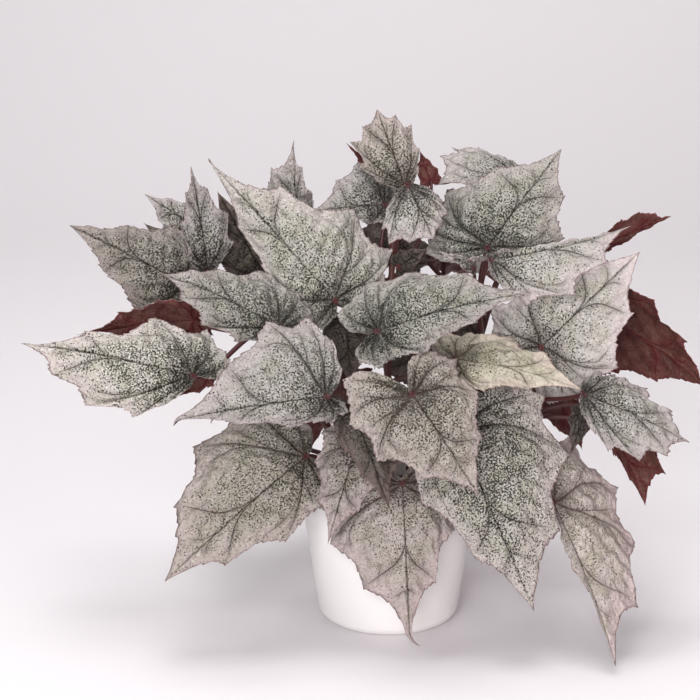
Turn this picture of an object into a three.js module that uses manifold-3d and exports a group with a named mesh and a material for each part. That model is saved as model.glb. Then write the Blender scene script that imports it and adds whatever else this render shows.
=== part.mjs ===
// A potted rex begonia: a plain white pot, its soil, seven upright canes, and the leaves on their petioles.
// Millimetres, +Z up, the origin at the centre of the pot's flat base, and the plant's front towards -Y.
import * as THREE from 'three';
import { mergeVertices } from 'three/addons/utils/BufferGeometryUtils.js';
import Module from 'manifold-3d';

const wasm = await Module();
wasm.setup();

// ---------------------------------------------------------------- driving dimensions
const CLEARANCE = 0.3; // left between pieces that rest on each other

const POT_HEIGHT = 140;
const POT_FOOT_RADIUS = 57; // the flat ring that the pot stands on
const POT_CORNER_RADIUS = 13; // rounded edge between foot and wall
const POT_WALL_LEAN = 0.142; // radians that the wall leans out from upright
const POT_WALL = 4;
const POT_FLOOR = 5;
const POT_SEGMENTS = 40;

const SOIL_LEVEL = 116; // height of the soil where it meets the pot
const SOIL_MOUND = 5; // the soil is this much higher in the middle
const SOIL_SEGMENTS = 24;
const SOIL_WALL_GAP = 0.25; // more than the clearance, because the pot and the soil have different facets
const SOIL_RINGS = [0.66, 0.33]; // where the dome has rings of facets, as shares of its radius
const SOCKET_ROOM = 1.2; // room in a cane's socket for the lean of the cane above its foot

const CANE_RADIUS = 4.5;
const CANE_SIDES = 8;
const CANE_STEPS = 8;
const CANE_ROOT_DEPTH = 26; // how far a cane stands in the soil

const PETIOLE_RADIUS = 2;
const PETIOLE_SIDES = 5;
const PETIOLE_STEPS = 6;
const PETIOLE_RISE = 0.5; // radians that a petiole starts out above square to its cane
const PETIOLE_START = 0.35; // length of its first handle, as a share of the way to the heart
const PETIOLE_END = 0.3; // length of its last handle, as a share of that way
const PETIOLE_SLOPE = [0.5, 0.85]; // it meets the blade this much along the midrib and from below

const BLADE_THICKNESS = 0.9;
const LARGE_BLADE = 140; // a blade whose midrib is longer than this gets one more ring of facets
const SMALL_BLADE = 75; // a blade whose midrib is shorter than this gets every other spoke

// ---------------------------------------------------------------- materials
const WHITE_GLAZE = { color: 0xeeecea, roughness: 0.42, metalness: 0 };
const DARK_SOIL = { color: 0x2b211b, roughness: 0.95, metalness: 0 };
const RED_CANE = { color: 0x5b2322, roughness: 0.6, metalness: 0 };
const SILVER_LEAF = { color: 0xa7aca2, roughness: 0.5, metalness: 0 };
const MAROON_LEAF = { color: 0x5a1f24, roughness: 0.5, metalness: 0 };

// ---------------------------------------------------------------- the plant's plan
// Each cane is a line of points from the soil up. Its foot goes straight down into the soil.
const CANES = {
  cane_left: [[-40, -4, 130], [-58, -6, 190], [-84, -4, 260], [-108, 4, 330]],
  cane_front_left: [[-24, -36, 130], [-34, -46, 170], [-42, -58, 215], [-44, -66, 250]],
  cane_centre: [[-2, 2, 130], [-2, 8, 200], [0, 14, 290], [4, 24, 385]],
  cane_right: [[38, 0, 130], [56, 4, 190], [82, 12, 260], [104, 22, 335]],
  cane_front_right: [[24, -36, 130], [38, -46, 165], [56, -56, 200], [72, -62, 235]],
  cane_back_left: [[-22, 42, 130], [-38, 66, 190], [-56, 92, 260], [-66, 110, 320]],
  cane_back_right: [[22, 42, 130], [40, 66, 190], [58, 92, 255], [70, 108, 310]],
};

// Each leaf: its heart (where the petiole meets the blade), its tip, the way its upper side faces, the
// widths of its left and right halves, how far the two lobes reach behind the heart, and the cane and
// height that its petiole grows from. Options: arch is how far the midrib turns from heart to tip,
// fold drops the left and right halves, curl rounds them further, belly moves their widest part towards
// the tip, and taper thins them towards their points.
const LEAVES = [
  // the crown
  leaf('leaf_top', [15, 20, 427], [-12, 50, 497], [0, -0.9, 0.35], [34, 26], [10, 10],
    'cane_centre', 372, { belly: [0.45, 0.4] }),
  leaf('leaf_top_left', [-4, 26, 409], [-72, 16, 405], [-0.1, -0.8, 0.5], [18, 54], [10, 16],
    'cane_centre', 350),
  leaf('leaf_top_hanging', [16, -18, 438], [40, -45, 391], [0.1, -0.8, 0.5], [26, 40], [6, 8],
    'cane_centre', 360, { belly: [0.4, 0.5] }),
  leaf('leaf_top_arched', [136, 90, 420], [44, 60, 421], [0, -0.5, 0.85], [20, 72], [20, 20],
    'cane_right', 325, { arch: 0.8, belly: [0, 0.25] }),
  leaf('leaf_top_left_underside', [3, 66, 415], [-42, 84, 458], [0.2, 0.8, 0.5], [14, 14], [8, 8],
    'cane_back_left', 285, { underside: true }),
  leaf('leaf_top_right_underside', [40, 50, 427], [30, 66, 454], [-0.2, 0.9, 0.3], [11, 11], [6, 6],
    'cane_centre', 340, { underside: true }),
  leaf('leaf_inner_top', [6, 43, 350], [8, 43, 402], [0, -0.9, 0.3], [44, 34], [12, 16],
    'cane_back_right', 290, { belly: [0.25, 0] }),
  leaf('leaf_crown_small', [8, 0, 354], [36, -6, 374], [0, -0.9, 0.4], [14, 12], [6, 6],
    'cane_centre', 300),
  leaf('leaf_crown_curled', [79, -28, 360], [45, -34, 377], [0, -0.6, 0.8], [7, 10], [4, 4],
    'cane_right', 300),

  // upper right
  leaf('leaf_upper_right', [94, 16, 369], [165, 40, 460], [-0.1, -0.85, 0.5], [74, 54], [34, 22],
    'cane_right', 310, { belly: [-0.1, 0.15] }),
  leaf('leaf_right_high', [93, -40, 371], [225, -28, 401], [-0.05, -0.55, 0.83], [9, 50], [18, 12],
    'cane_right', 285, { arch: -0.3, belly: [0, 0.2] }),
  leaf('leaf_right_high_underside', [208, 10, 375], [267, 0, 403], [-0.1, 0.9, 0.35], [8, 24], [8, 8],
    'cane_right', 272, { underside: true, belly: [0, 0.35] }),
  leaf('leaf_right_middle', [144, -30, 283], [237, -15, 373], [0.1, -0.85, 0.5], [60, 66], [42, 36],
    'cane_right', 240),
  leaf('leaf_right_far', [209, 60, 293], [316, 20, 226], [0.2, 0.9, 0.3], [52, 52], [15, 15],
    'cane_right', 262, { underside: true }),
  leaf('leaf_right_low', [181, -72, 249], [279, -92, 208], [0.15, -0.6, 0.8], [48, 42], [14, 14],
    'cane_right', 222, { belly: [0.2, 0.4] }),
  leaf('leaf_right_low_underside', [214, -30, 203], [247, -45, 128], [0.1, 0.9, 0.3], [9, 50], [8, 10],
    'cane_right', 200, { underside: true }),
  leaf('leaf_right_inner', [185, -46, 223], [172, -55, 185], [0.3, -0.9, 0.3], [12, 13], [6, 6],
    'cane_front_right', 205),

  // the middle, towards the front
  leaf('leaf_centre', [-13, -85, 314], [126, -105, 357], [-0.05, -0.75, 0.65], [62, 32], [40, 28],
    'cane_centre', 270),
  leaf('leaf_centre_right', [59, -88, 288], [175, -135, 272], [0.1, -0.5, 0.85], [58, 26], [36, 24],
    'cane_centre', 235, { fold: [0.1, 0.5] }),
  leaf('leaf_front_centre', [18, -140, 270], [78, -170, 184], [0.05, -0.8, 0.6], [60, 60], [32, 48],
    'cane_front_right', 228),
  leaf('leaf_front_dark', [-36, -110, 248], [-2, -145, 161], [0.15, -0.9, 0.4], [40, 24], [16, 14],
    'cane_front_left', 230),
  leaf('leaf_inner_left', [-42, -6, 304], [-36, -14, 238], [0, -0.9, 0.4], [24, 26], [8, 8],
    'cane_left', 235),
  leaf('leaf_inner_right', [40, 40, 320], [34, 26, 206], [0, -0.9, 0.35], [58, 72], [12, 25],
    'cane_right', 255, { belly: [0.2, 0.2] }),
  leaf('leaf_under_centre_right', [114, -55, 277], [119, -70, 244], [0.1, -0.9, 0.4], [11, 11], [6, 6],
    'cane_front_right', 230),

  // hanging over the pot
  leaf('leaf_front_right_large', [57, -95, 226], [133, -150, 62], [0.05, -0.9, 0.4], [96, 56], [40, 35],
    'cane_front_right', 190, { belly: [0.08, 0] }),
  leaf('leaf_right_hanging', [152, -100, 152], [208, -155, 14], [0.45, -0.85, 0.25], [84, 22], [64, 20],
    'cane_front_right', 170, { fold: [0.15, 1.7], belly: [0.12, 0] }),
  leaf('leaf_front_hanging', [11, -100, 171], [18, -125, 31], [0, -0.95, 0.3], [48, 74], [25, 25],
    'cane_front_right', 150, { belly: [0.05, 0.12] }),
  leaf('leaf_front_left_small', [-31, -98, 208], [-58, -130, 125], [-0.1, -0.9, 0.4], [34, 36], [22, 25],
    'cane_front_left', 180),
  leaf('leaf_left_hanging', [-79, -85, 192], [-210, -135, 86], [-0.1, -0.85, 0.5], [48, 88], [12, 38],
    'cane_front_left', 170, { arch: 0.5, belly: [0.1, 0.13] }),

  // the left
  leaf('leaf_left_middle', [-59, -122, 262], [-193, -156, 251], [-0.1, -0.9, 0.42], [24, 84], [20, 26],
    'cane_left', 215, { arch: 0.6 }),
  leaf('leaf_far_left', [-185, -60, 263], [-347, -60, 296], [-0.2, -0.75, 0.6], [50, 56], [14, 32],
    'cane_left', 300, { arch: 0.5, belly: [0.3, 0], taper: [0.1, 0.75] }),
  leaf('leaf_far_left_lobe', [-176, -28, 256], [-219, -38, 233], [0, 0.9, 0.3], [12, 14], [6, 6],
    'cane_left', 240, { underside: true }),
  leaf('leaf_far_left_underside', [-187, 10, 299], [-302, 0, 287], [0, 0.9, 0.4], [40, 22], [25, 15],
    'cane_left', 285, { underside: true, taper: [0.6, 0.2] }),
  leaf('leaf_left_upper', [-102, -80, 316], [-210, -86, 370], [-0.1, -0.65, 0.75], [32, 54], [10, 32],
    'cane_left', 250, { belly: [0.3, 0] }),
  leaf('leaf_upper_left', [-195, 22, 330], [-308, 25, 389], [-0.2, -0.8, 0.55], [46, 50], [16, 20],
    'cane_left', 315),
  leaf('leaf_upper_left_upright', [-173, -15, 353], [-188, 0, 452], [0.25, -0.9, 0.3], [20, 27], [8, 8],
    'cane_left', 322, { fold: [-0.35, -0.35], belly: [0.2, 0.25], taper: [0, 0.5] }),
  leaf('leaf_upper_left_behind', [-187, 80, 371], [-240, 80, 408], [-0.1, -0.8, 0.6], [26, 22], [8, 8],
    'cane_left', 310),
  leaf('leaf_upper_left_inner', [-194, 54, 345], [-240, 54, 386], [-0.1, -0.8, 0.6], [16, 18], [8, 8],
    'cane_left', 290),
  leaf('leaf_left_crown', [-52, -28, 328], [-171, -8, 459], [-0.15, -0.8, 0.55], [40, 78], [14, 30],
    'cane_centre', 300, { taper: [0, 0.45] }),
  leaf('leaf_left_crown_behind', [-87, 55, 358], [-93, 62, 461], [-0.1, -0.85, 0.5], [46, 17], [20, 20],
    'cane_left', 270, { belly: [0.25, 0.25], taper: [0.2, 0.4] }),
  leaf('leaf_left_inner_dark', [-120, 34, 334], [-165, 20, 424], [-0.1, -0.8, 0.5], [34, 30], [8, 8],
    'cane_left', 305, { belly: [0.2, 0] }),

  // the back
  leaf('leaf_back_left_high', [-70, 120, 345], [-130, 215, 300], [-0.3, 0.6, 0.75], [48, 55], [30, 25],
    'cane_back_left', 300),
  leaf('leaf_back_right_high', [60, 130, 335], [120, 225, 280], [0.3, 0.6, 0.75], [55, 48], [25, 30],
    'cane_back_right', 295),
  leaf('leaf_back_centre', [-4, 104, 300], [2, 150, 196], [0, 0.85, 0.5], [38, 54], [8, 24],
    'cane_back_left', 250),
  leaf('leaf_back_left_middle', [-110, 90, 225], [-185, 150, 150], [-0.5, 0.5, 0.7], [50, 45], [24, 24],
    'cane_back_left', 200),
  leaf('leaf_back_right_middle', [125, 95, 250], [200, 165, 190], [0.5, 0.5, 0.7], [48, 52], [24, 24],
    'cane_back_right', 215),
  leaf('leaf_back_left_low', [-50, 120, 210], [-80, 190, 110], [-0.2, 0.85, 0.45], [45, 40], [24, 24],
    'cane_back_left', 170),
  leaf('leaf_back_right_low', [60, 115, 200], [85, 195, 110], [0.2, 0.85, 0.45], [42, 46], [24, 24],
    'cane_back_right', 165),
  leaf('leaf_side_left', [-124, 10, 177], [-170, 5, 112], [-0.8, -0.1, 0.6], [32, 30], [16, 16],
    'cane_left', 165),
  leaf('leaf_side_right', [159, 25, 226], [192, 15, 165], [0.2, 0.9, 0.35], [26, 26], [10, 10],
    'cane_right', 180, { underside: true }),
  leaf('leaf_top_back', [20, 90, 385], [45, 165, 395], [0.1, 0.1, 0.98], [44, 40], [20, 20],
    'cane_back_right', 305),
];

function leaf(name, heart, tip, faces, widths, lobes, cane, node, options = {}) {
  const plain = { arch: 0.4, fold: [0.12, 0.12], curl: 0.35, belly: [0, 0], taper: [0, 0] };
  return { name, heart, tip, faces, widths, lobes, cane, node, ...plain, ...options };
}

// ---------------------------------------------------------------- blade outline
// One half of a blade's outline in eleven steps from the tip round to the notch behind the heart.
// Each step goes forward by a share of the midrib and back by a share of the lobe, and sideways by a
// share of the half's width. Whole steps are the pointed ends of the side veins.
const OUTLINE_FORWARD = [1, 0.78, 0.61, 0.42, 0.27, 0.08, 0, 0, 0, 0, 0];
const OUTLINE_BACK = [0, 0, 0, 0, 0, 0, 0.25, 0.6, 1, 0.86, 0.2];
const OUTLINE_ACROSS = [0, 0.23, 0.54, 0.7, 0.96, 0.9, 1, 0.82, 0.66, 0.28, 0];
const LAST_STEP = OUTLINE_ACROSS.length - 1;

const vector = (p) => new THREE.Vector3(...p);

// The frame of a blade: its chord from heart to tip, its upper normal and its right-hand side, and
// the midrib as an arc of a circle over that chord.
function bladeFrame({ heart, tip, faces, arch }) {
  const origin = vector(heart);
  const chord = vector(tip).sub(origin);
  const span = chord.length();
  const along = chord.clone().normalize();
  const up = vector(faces);
  up.addScaledVector(along, -up.dot(along)).normalize();
  const right = new THREE.Vector3().crossVectors(along, up);
  const midrib = (span * arch) / 2 / Math.sin(arch / 2);
  return { origin, along, up, right, arch, midrib };
}

// The point of the blade that lies at (forward, across) when the blade is pressed flat.
function bladePoint(frame, { widths, fold, curl }, forward, across) {
  const { origin, along, up, right, arch, midrib } = frame;
  const share = forward / midrib;
  const radius = midrib / arch;
  const turn = arch * (share - 0.5);
  const above = new THREE.Vector3(); // square to the midrib's arc there
  above.addScaledVector(along, Math.sin(turn)).addScaledVector(up, Math.cos(turn));
  const point = origin.clone();
  point.addScaledVector(along, radius * (Math.sin(turn) + Math.sin(arch / 2)));
  point.addScaledVector(up, radius * (Math.cos(turn) - Math.cos(arch / 2)));
  const half = across < 0 ? 0 : 1;
  const distance = Math.abs(across);
  const drop = fold[half] + (curl * distance) / widths[half] / 2;
  point.addScaledVector(right, across * Math.cos(drop));
  return point.addScaledVector(above, -distance * Math.sin(drop));
}

// The blade as a closed sheet: rings of points about the heart on the upper and the lower face.
function bladeGeometry(row) {
  const frame = bladeFrame(row);
  const rings = frame.midrib > LARGE_BLADE ? [0.38, 0.72, 1] : [0.5, 1];
  const stride = frame.midrib < SMALL_BLADE ? 2 : 1;
  const spokes = [];
  for (let step = 0; step <= LAST_STEP; step += stride) spokes.push([step, 1]);
  for (let step = LAST_STEP - stride; step > 0; step -= stride) spokes.push([step, 0]);
  const middle = [frame.origin.clone()];
  for (const ring of rings) {
    for (const [step, half] of spokes) {
      const forwardShare = OUTLINE_FORWARD[step] + row.belly[half] * OUTLINE_ACROSS[step];
      const forward = forwardShare * frame.midrib - OUTLINE_BACK[step] * row.lobes[half];
      const acrossShare = OUTLINE_ACROSS[step] ** (1 + row.taper[half]);
      const across = acrossShare * row.widths[half] * (half === 1 ? 1 : -1);
      middle.push(bladePoint(frame, row, ring * forward, ring * across));
    }
  }
  const count = spokes.length;
  const upper = [];
  for (let s = 0; s < count; s += 1) {
    const next = (s + 1) % count;
    upper.push([0, 1 + next, 1 + s]);
    for (let r = 0; r < rings.length - 1; r += 1) {
      const inner = 1 + r * count;
      const outer = inner + count;
      upper.push([inner + s, inner + next, outer + s], [inner + next, outer + next, outer + s]);
    }
  }
  const sheet = new THREE.BufferGeometry().setFromPoints(middle);
  sheet.setIndex(upper.flat());
  sheet.computeVertexNormals();
  const normals = sheet.getAttribute('normal');
  const points = [];
  for (const side of [0.5, -0.5]) {
    middle.forEach((p, i) => {
      const normal = new THREE.Vector3().fromBufferAttribute(normals, i);
      points.push(p.clone().addScaledVector(normal, side * BLADE_THICKNESS));
    });
  }
  const faces = [...upper];
  for (const [a, b, c] of upper) faces.push([a + middle.length, c + middle.length, b + middle.length]);
  const rim = 1 + (rings.length - 1) * count;
  for (let s = 0; s < count; s += 1) {
    const a = rim + s;
    const b = rim + ((s + 1) % count);
    faces.push([a, b, a + middle.length], [b, b + middle.length, a + middle.length]);
  }
  const geometry = new THREE.BufferGeometry().setFromPoints(points);
  geometry.setIndex(faces.flat());
  return geometry;
}

// ---------------------------------------------------------------- solids
function toSolid(geometry) {
  const bare = geometry.clone();
  bare.deleteAttribute('normal');
  bare.deleteAttribute('uv');
  const merged = mergeVertices(bare, 1e-4);
  const vertProperties = new Float32Array(merged.getAttribute('position').array);
  const triVerts = new Uint32Array(merged.getIndex().array);
  return new wasm.Manifold(new wasm.Mesh({ numProp: 3, vertProperties, triVerts }));
}

function toGeometry(solid) {
  const mesh = solid.getMesh();
  const geometry = new THREE.BufferGeometry();
  geometry.setAttribute('position', new THREE.BufferAttribute(mesh.vertProperties, 3));
  geometry.setIndex(new THREE.BufferAttribute(mesh.triVerts, 1));
  return geometry;
}

function polygon(sides, radius) {
  const points = [];
  for (let i = 0; i < sides; i += 1) {
    const angle = (2 * Math.PI * i) / sides;
    points.push(new THREE.Vector2(radius * Math.cos(angle), radius * Math.sin(angle)));
  }
  return new THREE.Shape(points);
}

const tube = (path, sides, radius, steps) =>
  new THREE.ExtrudeGeometry(polygon(sides, radius), { steps, extrudePath: path, bevelEnabled: false });

// A profile of [radius, height] points turned about the upright axis.
function turned(profile, segments) {
  const points = profile.map(([radius, height]) => new THREE.Vector2(radius, height));
  return new THREE.LatheGeometry(points, segments).rotateX(Math.PI / 2);
}

// ---------------------------------------------------------------- pot and soil
const wallStart = {
  radius: POT_FOOT_RADIUS + POT_CORNER_RADIUS * Math.cos(POT_WALL_LEAN),
  height: POT_CORNER_RADIUS * (1 - Math.sin(POT_WALL_LEAN)),
};
const outerRadius = (height) => wallStart.radius + (height - wallStart.height) * Math.tan(POT_WALL_LEAN);
const innerRadius = (height) => outerRadius(height) - POT_WALL / Math.cos(POT_WALL_LEAN);

function potGeometry() {
  const profile = [[0, 0]];
  const cornerSteps = 4;
  for (let i = 0; i <= cornerSteps; i += 1) {
    const angle = -Math.PI / 2 + ((Math.PI / 2 - POT_WALL_LEAN) * i) / cornerSteps;
    profile.push([
      POT_FOOT_RADIUS + POT_CORNER_RADIUS * Math.cos(angle),
      POT_CORNER_RADIUS + POT_CORNER_RADIUS * Math.sin(angle),
    ]);
  }
  const lipRise = POT_WALL / 4; // the lip is rounded by two small chamfers
  profile.push([outerRadius(POT_HEIGHT - lipRise), POT_HEIGHT - lipRise]);
  profile.push([outerRadius(POT_HEIGHT) - lipRise, POT_HEIGHT]);
  profile.push([innerRadius(POT_HEIGHT) + lipRise, POT_HEIGHT]);
  profile.push([innerRadius(POT_HEIGHT - lipRise), POT_HEIGHT - lipRise]);
  profile.push([innerRadius(2 * POT_CORNER_RADIUS), 2 * POT_CORNER_RADIUS]);
  profile.push([POT_FOOT_RADIUS, POT_FLOOR]);
  profile.push([0, POT_FLOOR]);
  return turned(profile, POT_SEGMENTS);
}

function canePath(points) {
  const [x, y] = points[0];
  const foot = [x, y, soilHeight(x, y) - CANE_ROOT_DEPTH];
  return new THREE.CatmullRomCurve3([foot, ...points].map(vector));
}

// The soil is a shallow dome.
function soilHeight(x, y) {
  const share = Math.hypot(x, y) / innerRadius(SOIL_LEVEL);
  return SOIL_LEVEL + SOIL_MOUND * (1 - share * share);
}

// The soil fills the pot, with a socket for the foot of each cane.
function soilGeometry() {
  const wallGap = CLEARANCE / Math.cos(Math.PI / SOIL_SEGMENTS) + SOIL_WALL_GAP;
  const profile = [[0, POT_FLOOR + CLEARANCE], [POT_FOOT_RADIUS - 1, POT_FLOOR + CLEARANCE]];
  profile.push([innerRadius(2 * POT_CORNER_RADIUS) - wallGap, 2 * POT_CORNER_RADIUS]);
  profile.push([innerRadius(SOIL_LEVEL) - wallGap, SOIL_LEVEL]);
  for (const share of SOIL_RINGS) {
    const radius = share * innerRadius(SOIL_LEVEL);
    profile.push([radius, soilHeight(radius, 0)]);
  }
  profile.push([0, soilHeight(0, 0)]);
  let soil = toSolid(turned(profile, SOIL_SEGMENTS));
  for (const points of Object.values(CANES)) {
    const [x, y] = points[0];
    const bottom = soilHeight(x, y) - CANE_ROOT_DEPTH - CLEARANCE;
    const radius = CANE_RADIUS + CLEARANCE + SOCKET_ROOM;
    const socket = new THREE.CylinderGeometry(radius, radius, POT_HEIGHT, CANE_SIDES);
    socket.rotateX(Math.PI / 2).translate(x, y, bottom + POT_HEIGHT / 2);
    soil = soil.subtract(toSolid(socket));
  }
  return toGeometry(soil);
}

// ---------------------------------------------------------------- leaves on their petioles
// The petiole leaves the cane sideways and a little upward, and meets the blade from below.
function petiolePath(row) {
  const cane = canePath(CANES[row.cane]);
  const { point: centre, tangent } = caneAt(cane, row.node);
  const heart = vector(row.heart);
  const outward = heart.clone().sub(centre);
  outward.addScaledVector(tangent, -outward.dot(tangent)).normalize();
  const start = outward.clone().multiplyScalar(Math.cos(PETIOLE_RISE));
  start.addScaledVector(tangent, Math.sin(PETIOLE_RISE));
  const standOff = CANE_RADIUS + CLEARANCE + PETIOLE_RADIUS * Math.sin(PETIOLE_RISE);
  const foot = centre.clone().addScaledVector(outward, standOff);
  const frame = bladeFrame(row);
  const reach = heart.distanceTo(foot);
  const arrive = frame.along.clone().multiplyScalar(PETIOLE_SLOPE[0]);
  arrive.addScaledVector(frame.up, PETIOLE_SLOPE[1]).normalize();
  const first = foot.clone().addScaledVector(start, PETIOLE_START * reach);
  const second = heart.clone().addScaledVector(arrive, -PETIOLE_END * reach);
  return new THREE.CubicBezierCurve3(foot, first, second, heart);
}

// Where a cane passes a height, found by halving.
function caneAt(cane, height) {
  let low = 0;
  let high = 1;
  for (let i = 0; i < 30; i += 1) {
    const middle = (low + high) / 2;
    if (cane.getPoint(middle).z < height) low = middle;
    else high = middle;
  }
  return { point: cane.getPoint(low), tangent: cane.getTangent(low) };
}

function leafGeometry(row) {
  const petiole = toSolid(tube(petiolePath(row), PETIOLE_SIDES, PETIOLE_RADIUS, PETIOLE_STEPS));
  return toGeometry(toSolid(bladeGeometry(row)).add(petiole));
}

// ---------------------------------------------------------------- the object
const plant = new THREE.Group();

function place(name, geometry, look) {
  geometry.computeVertexNormals();
  const mesh = new THREE.Mesh(geometry, new THREE.MeshStandardMaterial(look));
  mesh.name = name;
  plant.add(mesh);
}

place('pot', potGeometry(), WHITE_GLAZE);
place('potting_soil', soilGeometry(), DARK_SOIL);
for (const [name, points] of Object.entries(CANES)) {
  place(name, tube(canePath(points), CANE_SIDES, CANE_RADIUS, CANE_STEPS), RED_CANE);
}
for (const row of LEAVES) {
  place(row.name, leafGeometry(row), row.underside ? MAROON_LEAF : SILVER_LEAF);
}

export default plant;
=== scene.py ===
"""The looks of a potted rex begonia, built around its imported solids.

Every leaf is a curved sheet worked out from the same plan of hearts, tips and widths as its solid, with a
toothed outline, raised fields between sunken veins, and its petiole. Pot, soil and canes are fine surfaces
of their own. Lengths in the plan are millimetres; meshes are metres.
"""
import math

import bpy
import numpy as np
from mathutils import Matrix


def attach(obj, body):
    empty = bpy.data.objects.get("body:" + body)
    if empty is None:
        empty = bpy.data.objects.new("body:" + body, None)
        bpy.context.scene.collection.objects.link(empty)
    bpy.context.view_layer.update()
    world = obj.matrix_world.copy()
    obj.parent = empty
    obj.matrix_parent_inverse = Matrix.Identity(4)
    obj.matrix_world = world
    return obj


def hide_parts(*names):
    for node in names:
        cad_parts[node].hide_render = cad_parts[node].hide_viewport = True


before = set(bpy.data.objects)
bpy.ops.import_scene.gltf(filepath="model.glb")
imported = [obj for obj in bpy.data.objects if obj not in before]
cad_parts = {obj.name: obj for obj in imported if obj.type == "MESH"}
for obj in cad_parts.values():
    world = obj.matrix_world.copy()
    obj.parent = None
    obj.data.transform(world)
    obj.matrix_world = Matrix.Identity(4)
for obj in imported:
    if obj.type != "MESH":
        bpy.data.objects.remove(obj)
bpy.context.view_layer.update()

bl_info = {
    "name": "Potted rex begonia",
    "version": (1, 0, 0),
    "blender": (4, 5, 0),
    "location": "View3D > Sidebar > Begonia",
    "description": "Builds a potted rex begonia: pot, soil, canes and leaves, and its studio",
    "category": "Object",
}

MM = 0.001  # in metres
TURN = 2 * math.pi

# ---- the plan, in millimetres
POT_HEIGHT = 140
POT_FOOT_RADIUS = 57
POT_CORNER_RADIUS = 13
POT_WALL_LEAN = 0.142  # radians from upright
POT_WALL = 4
POT_FLOOR = 5
KNEE_HEIGHT = 2 * POT_CORNER_RADIUS  # where the inside of the wall turns in to the floor
SOIL_LEVEL = 116
SOIL_MOUND = 5
SOIL_LUMP = 9
SOIL_LUMP_HEIGHT = 1.6
SOIL_CLEARANCE = 0.6  # from the pot
CANE_RADIUS = 4.5
CANE_ROOT_DEPTH = 26
CANE_FIRST_JOINT, CANE_JOINT_GAP = (30, 44), (26, 38)  # each between the two
CANE_SWELLING, CANE_SCAR = 1.3, 0.5
CANE_SCAR_ABOVE = 6  # its distance from the joint
PETIOLE_RADIUS = 2
PETIOLE_RISE = 0.5  # radians, where it leaves the cane
POT_SIDES, SOIL_SIDES, CANE_SIDES, PETIOLE_SIDES = 160, 200, 20, 12  # how many corners each has round it
SOIL_SEED, CANE_SEED, LEAF_SEED = 5, 40, 1000

# What each cane passes through on its way up from its root.
CANES = {
    "cane_left": [(-40, -4, 130), (-58, -6, 190), (-84, -4, 260), (-108, 4, 330)],
    "cane_front_left": [(-24, -36, 130), (-34, -46, 170), (-42, -58, 215), (-44, -66, 250)],
    "cane_centre": [(-2, 2, 130), (-2, 8, 200), (0, 14, 290), (4, 24, 385)],
    "cane_right": [(38, 0, 130), (56, 4, 190), (82, 12, 260), (104, 22, 335)],
    "cane_front_right": [(24, -36, 130), (38, -46, 165), (56, -56, 200), (72, -62, 235)],
    "cane_back_left": [(-22, 42, 130), (-38, 66, 190), (-56, 92, 260), (-66, 110, 320)],
    "cane_back_right": [(22, 42, 130), (40, 66, 190), (58, 92, 255), (70, 108, 310)],
}

# What a leaf is unless its row says otherwise: how far it arches, in radians; the fold and the taper of its
# left and right half, and how far the outline of each swells towards the tip; how many times longer its
# points are; the length of its drawn-out tip, how far that swings to the right and how far it curls under, in
# millimetres; its finish, and how bright its bloom is.
PLAIN = {"arch": 0.4, "fold": (0.12, 0.12), "taper": (0, 0), "belly": (0, 0), "points": 1, "drip": (0, 0, 0),
         "finish": "silver", "tone": 0.8}
FULL_TEETH, FULL_RELIEF = 110, 120  # a blade whose midrib is shorter than this has less of each
POINT_SIZES = (0.1, 0.28)  # each point's is the square of a number between these
TOOTH_SIZES = (0.2, 1)
VEIN_RIDGE = 0.7  # how far the veins stand out of the underside
BLADE_CURL = 0.35  # how much more steeply each half drops at its edge than at the midrib, in radians


def leaf(name, heart, tip, faces, widths, lobes, cane, node, **differs):
    """One row of the plan: where a blade's heart and tip are, the way its upper side faces, its half
    widths and lobes (left, right), and the cane and height that its petiole grows from."""
    blade = {"heart": heart, "tip": tip, "faces": faces, "widths": widths, "lobes": lobes}
    return {**PLAIN, **blade, "name": "leaf_" + name, "cane": "cane_" + cane, "node": node, **differs}


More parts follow.
